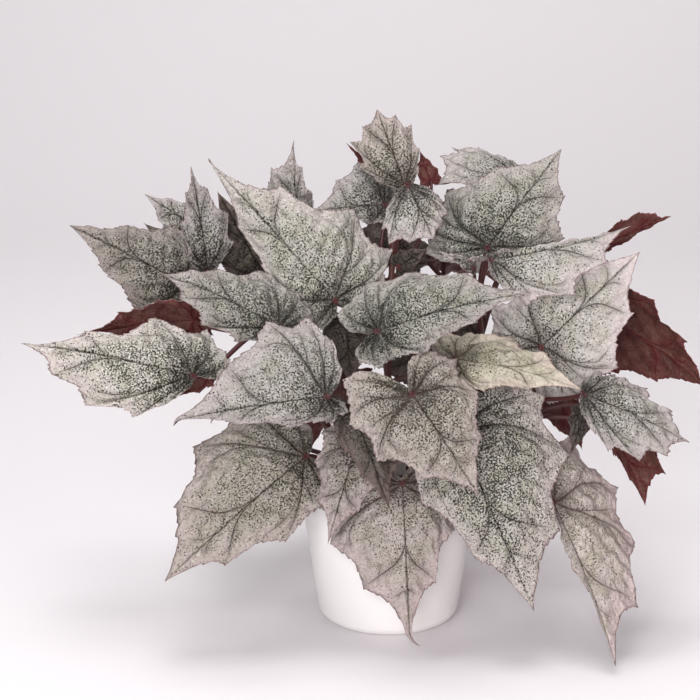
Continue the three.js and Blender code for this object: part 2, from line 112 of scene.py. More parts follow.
# Leaves deep inside the foliage take the darkest finish, whose colour is painted shade rather than the leaf's
# own.
LEAVES = [
    # the crown
    leaf("top", (15, 20, 427), (-12, 50, 497), (0, -0.9, 0.35), (34, 26), (10, 10), "centre", 372,
         belly=(0.45, 0.4), points=2, finish="bronze", tone=0.55),
    leaf("top_left", (-4, 26, 409), (-72, 16, 405), (-0.1, -0.8, 0.5), (18, 54), (10, 16), "centre", 350,
         tone=0.5),
    leaf("top_hanging", (16, -18, 438), (40, -45, 391), (0.1, -0.8, 0.5), (26, 40), (6, 8), "centre", 360,
         belly=(0.4, 0.5), tone=0.6),
    leaf("top_arched", (136, 90, 420), (44, 60, 421), (0, -0.5, 0.85), (20, 72), (20, 20), "right", 325,
         arch=0.8, belly=(0, 0.25), tone=0.6),
    leaf("top_left_underside", (3, 66, 415), (-42, 84, 458), (0.2, 0.8, 0.5), (14, 14), (8, 8), "back_left",
         285),
    leaf("top_right_underside", (40, 50, 427), (30, 66, 454), (-0.2, 0.9, 0.3), (11, 11), (6, 6), "centre",
         340),
    leaf("inner_top", (6, 43, 350), (8, 43, 402), (0, -0.9, 0.3), (44, 34), (12, 16), "back_right", 290,
         belly=(0.25, 0), finish="shade"),
    leaf("crown_small", (8, 0, 354), (36, -6, 374), (0, -0.9, 0.4), (14, 12), (6, 6), "centre", 300,
         finish="shade"),
    leaf("crown_curled", (79, -28, 360), (45, -34, 377), (0, -0.6, 0.8), (7, 10), (4, 4), "right", 300),
    # upper right
    leaf("upper_right", (94, 16, 369), (165, 40, 460), (-0.1, -0.85, 0.5), (74, 54), (34, 22), "right", 310,
         belly=(-0.1, 0.15), finish="green", tone=0.52),
    leaf("right_high", (93, -40, 371), (225, -28, 401), (-0.05, -0.55, 0.83), (9, 50), (18, 12), "right",
         285, arch=-0.3, belly=(0, 0.2), tone=0.64),
    leaf("right_high_underside", (208, 10, 375), (267, 0, 403), (-0.1, 0.9, 0.35), (8, 24), (8, 8), "right",
         272, belly=(0, 0.35)),
    leaf("right_middle", (144, -30, 283), (237, -15, 373), (0.1, -0.85, 0.5), (60, 66), (42, 36), "right",
         240, tone=0.9),
    leaf("right_far", (209, 60, 293), (316, 20, 226), (0.2, 0.9, 0.3), (52, 52), (15, 15), "right", 262),
    leaf("right_low", (181, -72, 249), (279, -92, 208), (0.15, -0.6, 0.8), (48, 42), (14, 14), "right", 222,
         belly=(0.2, 0.4), tone=0.58),
    leaf("right_low_underside", (214, -30, 203), (247, -45, 128), (0.1, 0.9, 0.3), (9, 50), (8, 10), "right",
         200, points=3),
    leaf("right_inner", (185, -46, 223), (172, -55, 185), (0.3, -0.9, 0.3), (12, 13), (6, 6), "front_right",
         205, finish="shade"),
    # the middle, towards the front
    leaf("centre", (-13, -85, 314), (126, -105, 357), (-0.05, -0.75, 0.65), (62, 32), (40, 28), "centre",
         270, finish="green", tone=0.51),
    leaf("centre_right", (59, -88, 288), (175, -135, 272), (0.1, -0.5, 0.85), (58, 26), (36, 24), "centre",
         235, fold=(0.1, 0.5), finish="olive", tone=0.83),
    leaf("front_centre", (18, -140, 270), (78, -170, 184), (0.05, -0.8, 0.6), (60, 60), (32, 48),
         "front_right", 228, finish="bronze", tone=0.54),
    leaf("front_dark", (-36, -110, 248), (-2, -145, 161), (0.15, -0.9, 0.4), (40, 24), (16, 14),
         "front_left", 230, finish="shade"),
    leaf("inner_left", (-42, -6, 304), (-36, -14, 238), (0, -0.9, 0.4), (24, 26), (8, 8), "left", 235,
         finish="shade"),
    leaf("inner_right", (40, 40, 320), (34, 26, 206), (0, -0.9, 0.35), (58, 72), (12, 25), "right", 255,
         belly=(0.2, 0.2), finish="shade"),
    leaf("under_centre_right", (114, -55, 277), (119, -70, 244), (0.1, -0.9, 0.4), (11, 11), (6, 6),
         "front_right", 230),
    # hanging over the pot
    leaf("front_right_large", (57, -95, 226), (133, -150, 62), (0.05, -0.9, 0.4), (96, 56), (40, 35),
         "front_right", 190, belly=(0.08, 0), finish="speckled", tone=0.69),
    leaf("right_hanging", (152, -100, 152), (208, -155, 14), (0.45, -0.85, 0.25), (84, 22), (64, 20),
         "front_right", 170, fold=(0.15, 1.7), belly=(0.12, 0), points=3.2, drip=(4, 0, 0), finish="rosy",
         tone=0.78),
    leaf("front_hanging", (11, -100, 171), (18, -125, 31), (0, -0.95, 0.3), (48, 74), (25, 25),
         "front_right", 150, belly=(0.05, 0.12), points=2.2, drip=(17, -11, 5), finish="rosy", tone=0.66),
    leaf("front_left_small", (-31, -98, 208), (-58, -130, 125), (-0.1, -0.9, 0.4), (34, 36), (22, 25),
         "front_left", 180, drip=(5, 0, 2), finish="rosy", tone=0.54),
    leaf("left_hanging", (-79, -85, 192), (-210, -135, 86), (-0.1, -0.85, 0.5), (48, 88), (12, 38),
         "front_left", 170, arch=0.5, belly=(0.1, 0.13), finish="bronze", tone=0.58),
    # the left
    leaf("left_middle", (-59, -122, 262), (-193, -156, 251), (-0.1, -0.9, 0.42), (24, 84), (20, 26), "left",
         215, arch=0.6, drip=(6, -5, 3), tone=0.55),
    leaf("far_left", (-185, -60, 263), (-347, -60, 296), (-0.2, -0.75, 0.6), (50, 56), (14, 32), "left", 300,
         arch=0.5, belly=(0.3, 0), taper=(0.1, 0.75), finish="speckled", tone=0.81),
    leaf("far_left_lobe", (-176, -28, 256), (-219, -38, 233), (0, 0.9, 0.3), (12, 14), (6, 6), "left", 240),
    leaf("far_left_underside", (-187, 10, 299), (-302, 0, 287), (0, 0.9, 0.4), (40, 22), (25, 15), "left",
         285, taper=(0.6, 0.2)),
    leaf("left_upper", (-102, -80, 316), (-210, -86, 370), (-0.1, -0.65, 0.75), (32, 54), (10, 32), "left",
         250, belly=(0.3, 0), finish="green", tone=0.45),
    leaf("upper_left", (-195, 22, 330), (-308, 25, 389), (-0.2, -0.8, 0.55), (46, 50), (16, 20), "left", 315,
         finish="bronze", tone=0.38),
    leaf("upper_left_upright", (-173, -15, 353), (-188, 0, 452), (0.25, -0.9, 0.3), (20, 27), (8, 8), "left",
         322, fold=(-0.35, -0.35), belly=(0.2, 0.25), taper=(0, 0.5), tone=0.42),
    leaf("upper_left_behind", (-187, 80, 371), (-240, 80, 408), (-0.1, -0.8, 0.6), (26, 22), (8, 8), "left",
         310, tone=0.6),
    leaf("upper_left_inner", (-194, 54, 345), (-240, 54, 386), (-0.1, -0.8, 0.6), (16, 18), (8, 8), "left",
         290, finish="shade"),
    leaf("left_crown", (-52, -28, 328), (-171, -8, 459), (-0.15, -0.8, 0.55), (40, 78), (14, 30), "centre",
         300, taper=(0, 0.45), drip=(2, 2, 1), finish="green", tone=0.65),
    leaf("left_crown_behind", (-87, 55, 358), (-93, 62, 461), (-0.1, -0.85, 0.5), (46, 17), (20, 20), "left",
         270, belly=(0.25, 0.25), taper=(0.2, 0.4), drip=(5, 2, 2), tone=0.55),
    leaf("left_inner_dark", (-120, 34, 334), (-165, 20, 424), (-0.1, -0.8, 0.5), (34, 30), (8, 8), "left",
         305, belly=(0.2, 0), finish="shade"),
    # the back
    leaf("back_left_high", (-70, 120, 345), (-130, 215, 300), (-0.3, 0.6, 0.75), (48, 55), (30, 25),
         "back_left", 300),
    leaf("back_right_high", (60, 130, 335), (120, 225, 280), (0.3, 0.6, 0.75), (55, 48), (25, 30),
         "back_right", 295),
    leaf("back_centre", (-4, 104, 300), (2, 150, 196), (0, 0.85, 0.5), (38, 54), (8, 24), "back_left", 250),
    leaf("back_left_middle", (-110, 90, 225), (-185, 150, 150), (-0.5, 0.5, 0.7), (50, 45), (24, 24),
         "back_left", 200),
    leaf("back_right_middle", (125, 95, 250), (200, 165, 190), (0.5, 0.5, 0.7), (48, 52), (24, 24),
         "back_right", 215),
    leaf("back_left_low", (-50, 120, 210), (-80, 190, 110), (-0.2, 0.85, 0.45), (45, 40), (24, 24),
         "back_left", 170),
    leaf("back_right_low", (60, 115, 200), (85, 195, 110), (0.2, 0.85, 0.45), (42, 46), (24, 24),
         "back_right", 165),
    leaf("side_left", (-124, 10, 177), (-170, 5, 112), (-0.8, -0.1, 0.6), (32, 30), (16, 16), "left", 165),
    leaf("side_right", (159, 25, 226), (192, 15, 165), (0.2, 0.9, 0.35), (26, 26), (10, 10), "right", 180),
    leaf("top_back", (20, 90, 385), (45, 165, 395), (0.1, 0.1, 0.98), (44, 40), (20, 20), "back_right", 305),
]

# One half of a blade's outline in eleven steps from the tip round to the notch behind the heart:
# forward by a share of the midrib, back by a share of the lobe, sideways by a share of the half width.
# Even steps are the pointed ends of the side veins.
OUTLINE_FORWARD = [1, 0.78, 0.61, 0.42, 0.27, 0.08, 0, 0, 0, 0, 0]
OUTLINE_BACK = [0, 0, 0, 0, 0, 0, 0.25, 0.6, 1, 0.86, 0.2]
OUTLINE_ACROSS = [0, 0.23, 0.54, 0.7, 0.96, 0.9, 1, 0.82, 0.66, 0.28, 0]
LAST_STEP = len(OUTLINE_ACROSS) - 1

# The veins of one half of a blade. Each runs from one (place, reach) to another: place counts the vein ends
# round the outline from the tip, and reach goes from 0 at the heart to 1 at the edge. The last number is the
# vein's strength.
VEINS = [
    ((0, 0), (0, 1), 1.0),
    ((2, 0), (2, 1), 0.9),
    ((3, 0), (3.05, 0.97), 0.8),
    ((4, 0), (3.95, 0.95), 0.75),
    ((0, 0.3), (1, 0.99), 0.75),
    ((0, 0.6), (0.5, 0.96), 0.5),
    ((2, 0.4), (1.45, 0.95), 0.55),
    ((2, 0.27), (2.5, 0.94), 0.55),
    ((3, 0.36), (3.5, 0.92), 0.5),
    ((4, 0.33), (4.5, 0.9), 0.5),
    ((0.72, 0.72), (0.78, 0.97), 0.35),
    ((2, 0.68), (1.76, 0.97), 0.35),
]
VEIN_BEND = 1.25  # a vein's place changes with this power of its reach


# ---- settings that a user may change
class BegoniaFoliage(bpy.types.PropertyGroup):
    """Sizes of what the leaves are finished with."""

    tooth: bpy.props.FloatProperty(
        name="Tooth", description="Height of the largest teeth on a blade's edge",
        default=3.8 * MM, unit="LENGTH")
    puff: bpy.props.FloatProperty(
        name="Puff", description="How far the blade swells between two main veins",
        default=6.5 * MM, unit="LENGTH")
    ripple: bpy.props.FloatProperty(
        name="Ripple", description="How far the blade's edge waves up and down",
        default=3.4 * MM, unit="LENGTH")
    thickness: bpy.props.FloatProperty(
        name="Thickness", description="Thickness of the blade", default=0.5 * MM, unit="LENGTH")


class BegoniaColours(bpy.types.PropertyGroup):
    """Colours of the plant and its pot."""

    silver: bpy.props.FloatVectorProperty(
        name="Silver", description="The pale bloom on the upper side of a leaf",
        default=(0.69, 0.665, 0.625), subtype="COLOR")
    ground: bpy.props.FloatVectorProperty(
        name="Ground", description="The dark green leaf that shows between the silver",
        default=(0.028, 0.026, 0.022), subtype="COLOR")
    underside: bpy.props.FloatVectorProperty(
        name="Underside", description="The maroon underside of a leaf",
        default=(0.125, 0.052, 0.038), subtype="COLOR")
    petiole: bpy.props.FloatVectorProperty(
        name="Petiole", description="The dark red of petioles and canes",
        default=(0.085, 0.014, 0.016), subtype="COLOR")
    margin: bpy.props.FloatVectorProperty(
        name="Margin", description="The pinkish edge of a blade",
        default=(0.52, 0.40, 0.37), subtype="COLOR")
    pot: bpy.props.FloatVectorProperty(
        name="Pot", description="The pot's white", default=(0.90, 0.87, 0.86), subtype="COLOR")


# ---- small mathematics
def unit(v):
    """The vector, or each row of an array of vectors, at length one."""
    v = np.asarray(v, float)
    return v / np.linalg.norm(v, axis=-1, keepdims=True)


def smooth(x, low, high):
    """0 below low, 1 above high, and an S-curve between."""
    t = np.clip((x - low) / (high - low), 0, 1)
    return t * t * (3 - 2 * t)


def through(values, place):
    """A cubic curve through a list of values, read at places counted in list steps."""
    values = np.asarray(values, float)
    slope = np.gradient(values)
    i = np.clip(np.floor(place).astype(int), 0, len(values) - 2)
    t = place - i
    start = (1 + 2 * t) * (1 - t) ** 2 * values[i] + t * (1 - t) ** 2 * slope[i]
    return start + t * t * (3 - 2 * t) * values[i + 1] + t * t * (t - 1) * slope[i + 1]


def bezier(points, t):
    """The cubic Bezier curve of four points at each t, and its direction there."""
    a, b, c, d = [np.asarray(p, float) for p in points]
    t = t[:, None]
    place = (1 - t) ** 3 * a + 3 * t * (1 - t) ** 2 * b + 3 * t * t * (1 - t) * c + t ** 3 * d
    run = 3 * (1 - t) ** 2 * (b - a) + 6 * t * (1 - t) * (c - b) + 3 * t * t * (d - c)
    return place, unit(run)


def lengths_along(path):
    """How far each point of a path lies from its first, measured along it."""
    return np.concatenate([[0], np.cumsum(np.linalg.norm(np.diff(path, axis=0), axis=1))])


def rough_heights(x, y, seed, octaves=4, waves=5):
    """Sums of slanted sine waves whose sizes halve while their counts double: a lumpy ground."""
    rng = np.random.default_rng(seed)
    height = np.zeros_like(x)
    for octave in range(octaves):
        for _ in range(waves):
            angle, phase = rng.uniform(0, TURN, 2)
            wave = 2 ** octave * rng.uniform(0.7, 1.4)
            height += np.sin(wave * (x * math.cos(angle) + y * math.sin(angle)) + phase) / 2 ** octave
    return height / waves


def circle(sides):
    """Points round a circle of radius one, level at height nought."""
    angle = np.linspace(0, TURN, sides, endpoint=False)
    return np.stack([np.cos(angle), np.sin(angle), np.zeros(sides)], axis=1)


def turned(profile, sides):
    """Rings of points: a profile of radii and heights carried round the upright axis."""
    profile = np.asarray(profile, float)[:, None]
    return profile[..., :1] * circle(sides) + profile[..., 1:] * (0, 0, 1)


# ---- meshes
def add_object(name, data):
    """A new object in the scene, at the origin."""
    made = bpy.data.objects.new(name, data)
    bpy.context.collection.objects.link(made)
    return made


class Surface:
    """Collects grids of points into one mesh, with two UV maps and two values at each point."""

    def __init__(self):
        self.points, self.faces, self.looks = [], [], []
        self.maps = {"flat": [], "vein": []}
        self.values = {"spread": [], "tone": []}
        self.count = 0

    def add_points(self, points, spread=0.0, tone=0.0):
        """Adds points, and gives their numbers in the shape of their grid."""
        points = np.asarray(points, float)
        numbers = self.count + np.arange(points.size // 3).reshape(points.shape[:-1])
        self.points.append(points.reshape(-1, 3))
        self.values["spread"].append(np.broadcast_to(np.ravel(spread), (numbers.size,)))
        self.values["tone"].append(np.full(numbers.size, tone))
        self.count += numbers.size
        return numbers

    def add_quads(self, numbers, flat, vein, look, flip=False):
        """Adds the quads of a grid of point numbers; flat and vein are grids of UV pairs."""
        corners = [(0, 0), (0, 1), (1, 1), (1, 0)]
        if flip:
            corners.reverse()
        rows, columns = numbers.shape[0] - 1, numbers.shape[1] - 1

        def gather(grid):
            parts = [grid[r:r + rows, c:c + columns] for r, c in corners]
            return np.stack(parts, axis=2).reshape(rows * columns, 4, *grid.shape[2:])

        self.faces.append(gather(numbers))
        self.maps["flat"].append(gather(flat))
        self.maps["vein"].append(gather(vein))
        self.looks.append(np.full(rows * columns, look))

    def add_rings(self, rings, low, high, look=0, flip=False, girth=1, along=None):
        """Adds rings of points one after another, each closed round, shut at both ends by a point. The flat
        map spreads them by their girth and by how far along each lies, and the vein map once each way."""
        count, sides = rings.shape[:2]
        numbers = self.add_points(rings)
        numbers = np.concatenate([numbers, numbers[:, :1]], axis=1)
        low, high = [np.full((1, sides + 1), self.add_points(end)) for end in (low, high)]
        along = np.linspace(0, 1, count + 2) if along is None else along[[0, *range(count), -1]]
        around = np.linspace(0, 1, sides + 1)
        flat = np.stack(np.meshgrid(around * girth, along), axis=-1)
        vein = np.stack(np.meshgrid(around, along / along[-1]), axis=-1)
        self.add_quads(np.concatenate([low, numbers, high]), flat, vein, look, flip)

    def make(self, name, materials, node):
        """Makes the mesh object, which rides on the plant's one body and stands for a node of the frame.
        Quads whose corners coincide are written as triangles."""
        faces = np.concatenate(self.faces)
        keep = faces != np.roll(faces, -1, axis=1)
        sizes = keep.sum(axis=1)
        good = sizes >= 3
        keep &= good[:, None]
        corner_points, sizes = faces[keep], sizes[good]
        points = np.concatenate(self.points) * MM
        mesh = bpy.data.meshes.new(name)
        mesh.vertices.add(len(points))
        mesh.vertices.foreach_set("co", points.ravel())
        mesh.loops.add(len(corner_points))
        mesh.loops.foreach_set("vertex_index", corner_points)
        mesh.polygons.add(len(sizes))
        mesh.polygons.foreach_set("loop_start", np.concatenate([[0], np.cumsum(sizes)[:-1]]))
        mesh.polygons.foreach_set("material_index", np.concatenate(self.looks)[good])
        mesh.update(calc_edges=True)
        mesh.polygons.foreach_set("use_smooth", np.ones(len(sizes), bool))
        for label, parts in self.maps.items():
            layer = mesh.uv_layers.new(name=label)
            layer.data.foreach_set("uv", np.concatenate(parts)[keep].ravel())
        for label, parts in self.values.items():
            attribute = mesh.attributes.new(label, "FLOAT", "POINT")
            attribute.data.foreach_set("value", np.concatenate(parts))
        mesh.validate()
        for material in materials:
            mesh.materials.append(material)
        piece = add_object(name, mesh)
        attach(piece, "root")
        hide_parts(node)


def add_tube(surface, path, run, radii, sides, look):
    """A round tube: circles of the given radii set square to the path, carried along without turning,
    and closed at its ends by a point on the path."""
    side = np.zeros_like(path)
    side[0] = unit(np.cross(run[0], (0.3, 0.2, 0.93)))
    for i in range(1, len(path)):
        side[i] = unit(side[i - 1] - run[i] * np.dot(side[i - 1], run[i]))
    across = np.stack([side, np.cross(run, side)], axis=1)
    rings = path[:, None] + circle(sides)[:, :2] @ across * radii[:, None, None]
    surface.add_rings(
        rings, path[0], path[-1], look, girth=TURN * np.mean(radii) * MM, along=lengths_along(path) * MM)


# ---- the pot, the soil and the canes
def outer_radius(height):
    """The pot's outer radius above its rounded bottom edge."""
    start = POT_FOOT_RADIUS + POT_CORNER_RADIUS * math.cos(POT_WALL_LEAN)
    rise = height - POT_CORNER_RADIUS * (1 - math.sin(POT_WALL_LEAN))
    return start + rise * math.tan(POT_WALL_LEAN)


def inner_radius(height):
    """The pot's inner radius at a height."""
    return outer_radius(height) - POT_WALL / math.cos(POT_WALL_LEAN)


def pot_profile():
    """Radius and height from the middle of the foot, round the corner, up the wall, over the round rim, and
    down the inside to the middle of the floor."""
    half = POT_WALL / 2
    corner = np.linspace(-math.pi / 2, -POT_WALL_LEAN, 12)
    outer = np.stack([np.cos(corner), np.sin(corner)], axis=1) * POT_CORNER_RADIUS
    outer = outer + (POT_FOOT_RADIUS, POT_CORNER_RADIUS)
    wall = np.linspace(outer[-1, 1], POT_HEIGHT - half, 14)[1:]
    lip = np.linspace(0, math.pi, 12)[1:-1]
    middle = (outer_radius(POT_HEIGHT) + inner_radius(POT_HEIGHT)) / 2 - 0.3
    inside = np.linspace(POT_HEIGHT - half, KNEE_HEIGHT, 10)
    return np.concatenate([
        [(0, 0), (POT_FOOT_RADIUS / 2, 0)],
        outer,
        np.stack([outer_radius(wall), wall], axis=1),
        np.stack([middle + half * np.cos(lip), POT_HEIGHT - half * (1 - np.sin(lip))], axis=1),
        np.stack([inner_radius(inside), inside], axis=1),
        [(POT_FOOT_RADIUS, POT_FLOOR), (POT_FOOT_RADIUS / 2, POT_FLOOR), (0, POT_FLOOR)],
    ])


def soil_height(x, y):
    """The soil is a shallow dome."""
    share = np.hypot(x, y) / inner_radius(SOIL_LEVEL)
    return SOIL_LEVEL + SOIL_MOUND * (1 - share * share)


def cane_curve(name):
    """Points close together on the smooth curve through a cane's plan, its foot in the soil first, and the
    curve's direction at each."""
    x, y, _ = CANES[name][0]
    plan = np.array([(x, y, soil_height(x, y) - CANE_ROOT_DEPTH), *CANES[name]], float)
    place = np.linspace(0, len(plan) - 1, 161)
    curve = np.stack([through(values, place) for values in plan.T], axis=1)
    return curve, unit(np.gradient(curve, axis=0))


def cane_at(name, height):
    """Where a cane passes a height, and its direction there."""
    curve, run = cane_curve(name)
    centre, tangent = [
        np.array([np.interp(height, curve[:, 2], values) for values in table.T]) for table in (curve, run)]
    return centre, unit(tangent)


def cane_radii(length, rng):
    """A cane's radius along its length: it swells at each joint, is pinched at the scar above it, thins
    towards its end and is rounded off there."""
    radii = np.full(len(length), CANE_RADIUS * 0.9)
    joint = rng.uniform(*CANE_FIRST_JOINT)
    while joint < length[-1] - CANE_SCAR_ABOVE:
        radii += CANE_SWELLING * np.exp(-((length - joint) / 2.4) ** 2)
        radii -= CANE_SCAR * np.exp(-((length - joint - CANE_SCAR_ABOVE) / 4) ** 2)
        joint += rng.uniform(*CANE_JOINT_GAP)
    radii *= 1 - 0.25 * smooth(length / length[-1], 0.5, 1)
    radii[-8:] *= np.sqrt(1 - (np.arange(8) / 8.2) ** 2)
    return radii


# ---- one leaf
def blade_frame(row):
    """The blade's own directions: along from heart to tip, up where its upper side faces, and right. The
    midrib is an arc over the chord from heart to tip, and this gives its length too."""
    heart, tip = np.asarray(row["heart"], float), np.asarray(row["tip"], float)
    span = np.linalg.norm(tip - heart)
    along = (tip - heart) / span
    up = np.asarray(row["faces"], float)
    up = unit(up - along * np.dot(up, along))
    midrib = span * row["arch"] / 2 / math.sin(row["arch"] / 2)
    return {"heart": heart, "along": along, "up": up, "right": np.cross(along, up), "midrib": midrib}


def blade_half(row, half, steps, rings, rng, teeth, foliage):
    """Flat coordinates of one half of a blade, on a grid of rings about the heart and steps round the
    outline. The outline is a smooth curve through the plan's steps, drawn out to a point at each side
    vein, and cut into teeth that point towards the tip."""
    midrib, way = row["midrib"], 1 if half else -1
    drip, swing, under = row["drip"]
    # the outline
    across = through(np.power(OUTLINE_ACROSS, 1 + row["taper"][half]), steps) * row["widths"][half]
    belly = np.multiply(row["belly"][half], OUTLINE_ACROSS)
    forward = through(np.add(OUTLINE_FORWARD, belly), steps) * midrib
    forward = forward - through(OUTLINE_BACK, steps) * row["lobes"][half]
    from_heart = np.hypot(forward, across)
    # its points and teeth
    point_size = rng.uniform(*POINT_SIZES, LAST_STEP // 2 + 2) ** 2
    vein = steps / 2
    from_vein = np.abs((vein + 0.5) % 1 - 0.5) * 2
    pointed = point_size[np.round(vein).astype(int)] * (1 - from_vein) ** 4 * smooth(steps, 0.2, 1.2)
    pointed = pointed * row["points"]
    tooth_size = rng.uniform(*TOOTH_SIZES, int(LAST_STEP * teeth / 2) + 3)
    saw = (1 - vein * teeth % 1) * tooth_size[np.floor(vein * teeth).astype(int)]
    fade = smooth(steps, 0, 1.2) * (1 - smooth(steps, LAST_STEP - 0.8, LAST_STEP))
    tooth = foliage.tooth / MM * min(1, midrib / FULL_TEETH) * (saw - 0.25) * fade
    # the drawn-out tip
    across = across * (0.7 + 0.3 * smooth(steps, 0, 0.7))
    forward = forward + drip * (1 - smooth(steps, 0, 0.45))
    # the grid
    rho = rings[:, None]
    stretch = rho * (1 + pointed * rho ** 2 + tooth / np.maximum(from_heart, 8) * rho ** 16)
    x = forward * stretch
    past_tip = np.clip((x - midrib) / max(drip, 1), 0, 1) ** 2
    y = across * stretch * way + swing * past_tip
    rim_run = np.hypot(np.gradient(forward, steps), np.gradient(across, steps))
    # where each point lies among the veins: they sway, and bend towards the tip on their way out
    ends = smooth(vein, 0, 2.4) * (1 - smooth(vein, 3.4, 5)) * 4 * rho * (1 - rho)
    sway, _, drift = rng.uniform(0, TURN, 3)
    place = vein - ends * (0.34 + 0.12 * np.sin(steps * 0.8 + sway))
    reach = rho + 0.05 * ends * np.sin(steps * 1.3 + drift)
    grid = {"x": x, "y": y, "rho": rho, "spread": rho * np.maximum(rim_run, 4) * 2, "place": place * way,
            "reach": reach, "under": under * past_tip}
    return {label: np.broadcast_to(values, x.shape) for label, values in grid.items()}


def vein_creases(grid):
    """How deep each point lies in the creases along the veins, from 0 to 1: the deepest of the creases there,
    each of which falls off with distance from its vein."""
    place, reach = np.abs(grid["place"]), grid["reach"]
    deepest = np.zeros_like(place)
    for (start, begin), (end, finish), strength in VEINS:
        share = np.clip((reach - begin) / (finish - begin), 0, 1)
        gap = np.abs(place - start - (end - start) * share ** VEIN_BEND) * grid["spread"]
        live = smooth(reach, begin, begin + 0.08) if begin else 1
        live = live * (1 - smooth(reach, finish - 0.12, finish + 0.02))
        deepest = np.maximum(deepest, live * strength * np.exp(-gap / (4.5 + 5 * strength)))
    return deepest


def blade_relief(grid, row, phase, foliage):
    """How far a blade stands off its plain arc: it sinks below the arc along the veins and swells above it
    between them, and sums of sine waves ripple it, most of all at its edge. Where the two halves are folded
    together, it stays on the arc along the midrib."""
    place, rho = grid["place"], grid["rho"]
    x, y = grid["x"] / 100, grid["y"] / 100
    puffs = np.sin(31 * x + 9 * y + phase[0]) * np.sin(27 * y - 11 * x + phase[1])
    swell = (1 - vein_creases(grid)) * (1 + 0.35 * puffs) * (1 - 0.6 * smooth(rho, 0.75, 1))
    swell = (swell - 0.4) * smooth(rho, 0.02, 0.25)
    wave = np.sin(5 * x + 4 * y + phase[0]) + np.sin(7 * y - 5 * x + phase[1])
    edge = np.sin(place * 4.2 + phase[2]) + 0.7 * np.sin(place * 9.5 + phase[3])
    edge = edge + 0.45 * np.sin(place * 19 + phase[1])
    pucker = np.sin(13 * x - 8 * y + phase[2]) * np.sin(11 * y + 7 * x + phase[3]) * smooth(rho, 0.1, 0.5)
    ripple = 0.35 * wave * rho + 0.35 * pucker + 0.5 * edge * rho ** 5
    pressed = min(1, abs(sum(row["fold"]))) * (1 - smooth(np.abs(grid["y"]), 0, 16))
    size = min(1, row["midrib"] / FULL_RELIEF) / MM
    return size * (foliage.puff * swell + foliage.ripple * ripple) * (1 - pressed) - grid["under"]


def blade_bend(row, x, y, height):
    """Bends flat coordinates onto the blade: the midrib lies on its arc, each half drops from it by its
    fold and curl, and height is measured off the sheet."""
    along, up, arch = row["along"], row["up"], row["arch"]
    radius = row["midrib"] / arch
    turn = (arch * (x / row["midrib"] - 0.5))[..., None]
    above = along * np.sin(turn) + up * np.cos(turn)
    point = row["heart"] + along * radius * (np.sin(turn) + math.sin(arch / 2))
    point = point + up * radius * (np.cos(turn) - math.cos(arch / 2))
    fold, width = [np.where(y > 0, row[key][1], row[key][0]) for key in ("fold", "widths")]
    drop = (fold + BLADE_CURL / 2 * np.abs(y) / width)[..., None]
    y = y[..., None]
    point = point + row["right"] * y * np.cos(drop) - above * np.abs(y) * np.sin(drop)
    normal = unit(above * np.cos(drop) + row["right"] * np.sign(y) * np.sin(drop))
    return point + normal * height[..., None], normal


def petiole_points(row):
    """Four Bezier points from the cane to the heart: it leaves the cane sideways and a little upward,
    and meets the blade from below."""
    centre, tangent = cane_at(row["cane"], row["node"])
    heart = row["heart"]
    outward = heart - centre
    outward = unit(outward - tangent * np.dot(outward, tangent))
    leave = outward * math.cos(PETIOLE_RISE) + tangent * math.sin(PETIOLE_RISE)
    arrive = unit(row["along"] * 0.5 + row["up"] * 0.85)
    foot = centre + outward * CANE_RADIUS * 0.8
    reach = np.linalg.norm(heart - foot)
    return foot, foot + leave * 0.35 * reach, heart - arrive * 0.3 * reach, heart


UPPER, LOWER, EDGE, STALK = range(4)  # a leaf's materials, in order


